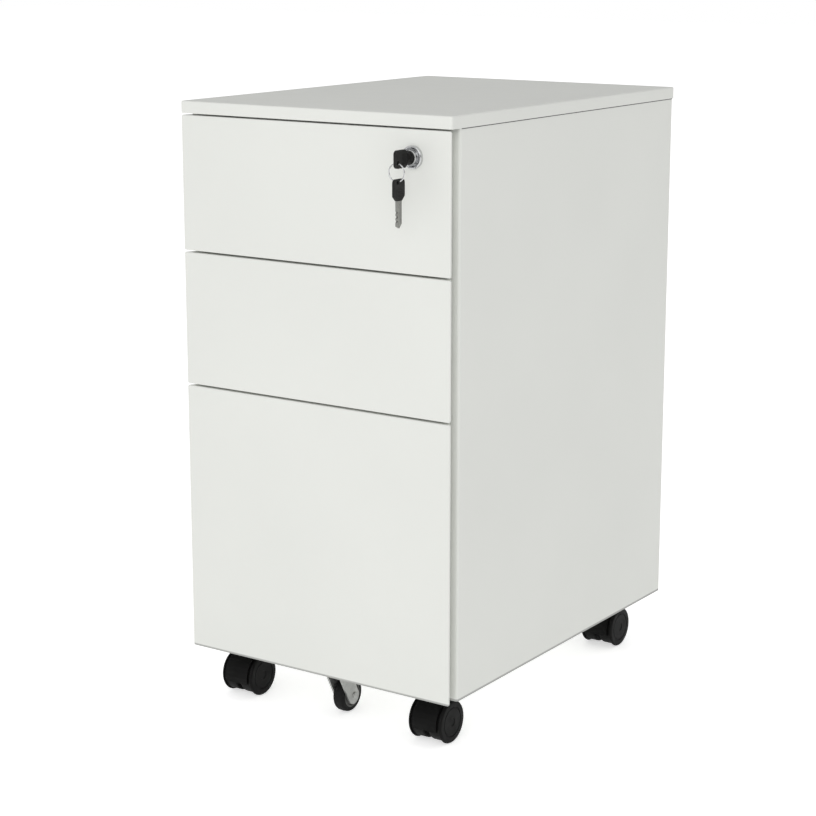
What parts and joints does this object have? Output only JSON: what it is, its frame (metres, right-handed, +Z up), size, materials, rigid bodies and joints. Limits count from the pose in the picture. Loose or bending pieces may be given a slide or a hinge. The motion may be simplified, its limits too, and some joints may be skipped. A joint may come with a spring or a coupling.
{
  "type": "rolling pedestal cabinet",
  "caption": "Slim steel drawer pedestal on casters: box drawers over a file drawer, cam lock with keys on a ring, and a fifth wheel under the file drawer.",
  "frame": {"origin": "floor, below the centre of the top panel", "axes": "+Z up, +X to the cabinet's right seen from the front, +Y to the back"},
  "size_m": [0.3, 0.4422, 0.5825],
  "materials": {
    "white_powder_coat": "fine satin powder coat",
    "zinc_steel": "bright zinc plate",
    "chrome": "polished",
    "dark_plug": "black nickel",
    "nickel_key": "nickel plate",
    "key_plastic": "moulded",
    "soft_tyre": "matt",
    "hub_plastic": "moulded",
    "black_nylon": "moulded",
    "wheel_nylon": "fine moulded grain"
  },
  "bodies": {
    "carcass": {"top_panel": "white_powder_coat", "side_panel_left": "white_powder_coat", "side_panel_right": "white_powder_coat", "back_panel": "white_powder_coat", "base_panel": "white_powder_coat", "top_rail": "white_powder_coat", "uprights_left": "white_powder_coat", "uprights_right": "white_powder_coat", "slide_outer_1": "zinc_steel", "slide_outer_2": "zinc_steel", "slide_outer_3": "zinc_steel", "caster_screws": "zinc_steel", "caster_mount_front_left": "zinc_steel", "caster_mount_front_right": "zinc_steel", "caster_mount_rear_left": "zinc_steel", "caster_mount_rear_right": "zinc_steel"},
    "drawer_1": {"drawer_front_1": "white_powder_coat", "drawer_tray_1": "white_powder_coat", "slide_inner_1": "zinc_steel", "lock_housing": "zinc_steel", "lock_bezel": "chrome", "lock_nut": "zinc_steel"},
    "drawer_2": {"drawer_front_2": "white_powder_coat", "drawer_tray_2": "white_powder_coat", "slide_inner_2": "zinc_steel"},
    "drawer_3": {"drawer_front_3": "white_powder_coat", "drawer_tray_3": "white_powder_coat", "slide_inner_3": "zinc_steel", "hanging_rail_front": "white_powder_coat", "hanging_rail_rear": "white_powder_coat", "tip_wheel_fork": "zinc_steel", "tip_wheel_axle": "zinc_steel"},
    "slide_middle_3": {"slide_middle_3": "zinc_steel"},
    "tip_wheel": {"tip_wheel_tyre": "soft_tyre", "tip_wheel_hub": "hub_plastic"},
    "lock_plug": {"lock_plug": "dark_plug", "lock_cam": "zinc_steel", "key_1_head": "key_plastic", "key_1_blade": "nickel_key"},
    "key_ring": {"key_ring": "chrome"},
    "key_2": {"key_2_head": "key_plastic", "key_2_blade": "nickel_key"},
    "lock_bar": {"lock_bar": "zinc_steel"},
    "caster_front_left": {"caster_hood_front_left": "black_nylon", "caster_axle_front_left": "zinc_steel"},
    "caster_front_left_wheel_left": {"caster_front_left_wheel_left": "wheel_nylon"},
    "caster_front_left_wheel_right": {"caster_front_left_wheel_right": "wheel_nylon"},
    "caster_front_right": {"caster_hood_front_right": "black_nylon", "caster_axle_front_right": "zinc_steel"},
    "caster_front_right_wheel_left": {"caster_front_right_wheel_left": "wheel_nylon"},
    "caster_front_right_wheel_right": {"caster_front_right_wheel_right": "wheel_nylon"},
    "caster_rear_left": {"caster_hood_rear_left": "black_nylon", "caster_axle_rear_left": "zinc_steel"},
    "caster_rear_left_wheel_left": {"caster_rear_left_wheel_left": "wheel_nylon"},
    "caster_rear_left_wheel_right": {"caster_rear_left_wheel_right": "wheel_nylon"},
    "caster_rear_right": {"caster_hood_rear_right": "black_nylon", "caster_axle_rear_right": "zinc_steel"},
    "caster_rear_right_wheel_left": {"caster_rear_right_wheel_left": "wheel_nylon"},
    "caster_rear_right_wheel_right": {"caster_rear_right_wheel_right": "wheel_nylon"}
  },
  "joints": [
    {"name": "drawer_1_slide", "type": "slide", "parent": "carcass", "child": "drawer_1", "axis": [0, -1, 0], "range_m": [0, 0.26]},
    {"name": "drawer_2_slide", "type": "slide", "parent": "carcass", "child": "drawer_2", "axis": [0, -1, 0], "range_m": [0, 0.26]},
    {"name": "drawer_3_slide", "type": "slide", "parent": "carcass", "child": "drawer_3", "axis": [0, -1, 0], "range_m": [0, 0.345]},
    {"name": "middle_slide_3", "type": "slide", "parent": "carcass", "child": "slide_middle_3", "axis": [0, -1, 0], "range_m": [0, 0.1725]},
    {"name": "tip_wheel_spin", "type": "hinge", "parent": "drawer_3", "child": "tip_wheel", "pos_m": [0, -0.1555, 0.0174], "axis": [1, 0, 0], "continuous": true},
    {"name": "lock_turn", "type": "hinge", "parent": "drawer_1", "child": "lock_plug", "pos_m": [0.1104, -0.206, 0.5457], "axis": [0, -1, 0], "range_deg": [0, 90]},
    {"name": "key_ring_swing", "type": "hinge", "parent": "lock_plug", "child": "key_ring", "pos_m": [0.1104, -0.2311, 0.54215], "axis": [1, 0, 0], "range_deg": [-60, 12]},
    {"name": "key_2_swing", "type": "hinge", "parent": "key_ring", "child": "key_2", "pos_m": [0.1104, -0.2311, 0.52675], "axis": [1, 0, 0], "range_deg": [-40, 10]},
    {"name": "lock_bar_lift", "type": "slide", "parent": "carcass", "child": "lock_bar", "axis": [0, 0, 1], "range_m": [0, 0.008]},
    {"name": "caster_front_left_swivel", "type": "hinge", "parent": "carcass", "child": "caster_front_left", "pos_m": [-0.1108, -0.1508, 0], "axis": [0, 0, 1], "continuous": true},
    {"name": "caster_front_left_wheel_left_spin", "type": "hinge", "parent": "caster_front_left", "child": "caster_front_left_wheel_left", "pos_m": [-0.1108, -0.1678, 0.0204], "axis": [1, 0, 0], "continuous": true},
    {"name": "caster_front_left_wheel_right_spin", "type": "hinge", "parent": "caster_front_left", "child": "caster_front_left_wheel_right", "pos_m": [-0.1108, -0.1678, 0.0204], "axis": [1, 0, 0], "continuous": true},
    {"name": "caster_front_right_swivel", "type": "hinge", "parent": "carcass", "child": "caster_front_right", "pos_m": [0.1108, -0.1508, 0], "axis": [0, 0, 1], "continuous": true},
    {"name": "caster_front_right_wheel_left_spin", "type": "hinge", "parent": "caster_front_right", "child": "caster_front_right_wheel_left", "pos_m": [0.1108, -0.1678, 0.0204], "axis": [1, 0, 0], "continuous": true},
    {"name": "caster_front_right_wheel_right_spin", "type": "hinge", "parent": "caster_front_right", "child": "caster_front_right_wheel_right", "pos_m": [0.1108, -0.1678, 0.0204], "axis": [1, 0, 0], "continuous": true},
    {"name": "caster_rear_left_swivel", "type": "hinge", "parent": "carcass", "child": "caster_rear_left", "pos_m": [-0.1108, 0.1739, 0], "axis": [0, 0, 1], "continuous": true},
    {"name": "caster_rear_left_wheel_left_spin", "type": "hinge", "parent": "caster_rear_left", "child": "caster_rear_left_wheel_left", "pos_m": [-0.1108, 0.1569, 0.0204], "axis": [1, 0, 0], "continuous": true},
    {"name": "caster_rear_left_wheel_right_spin", "type": "hinge", "parent": "caster_rear_left", "child": "caster_rear_left_wheel_right", "pos_m": [-0.1108, 0.1569, 0.0204], "axis": [1, 0, 0], "continuous": true},
    {"name": "caster_rear_right_swivel", "type": "hinge", "parent": "carcass", "child": "caster_rear_right", "pos_m": [0.1108, 0.1739, 0], "axis": [0, 0, 1], "continuous": true},
    {"name": "caster_rear_right_wheel_left_spin", "type": "hinge", "parent": "caster_rear_right", "child": "caster_rear_right_wheel_left", "pos_m": [0.1108, 0.1569, 0.0204], "axis": [1, 0, 0], "continuous": true},
    {"name": "caster_rear_right_wheel_right_spin", "type": "hinge", "parent": "caster_rear_right", "child": "caster_rear_right_wheel_right", "pos_m": [0.1108, 0.1569, 0.0204], "axis": [1, 0, 0], "continuous": true}
  ],
  "couplings": [
    {"joint": "middle_slide_3", "follows": "drawer_3_slide", "ratio": 0.5},
    {"joint": "lock_bar_lift", "follows": "lock_turn", "m_per_rad": 0.005093}
  ]
}
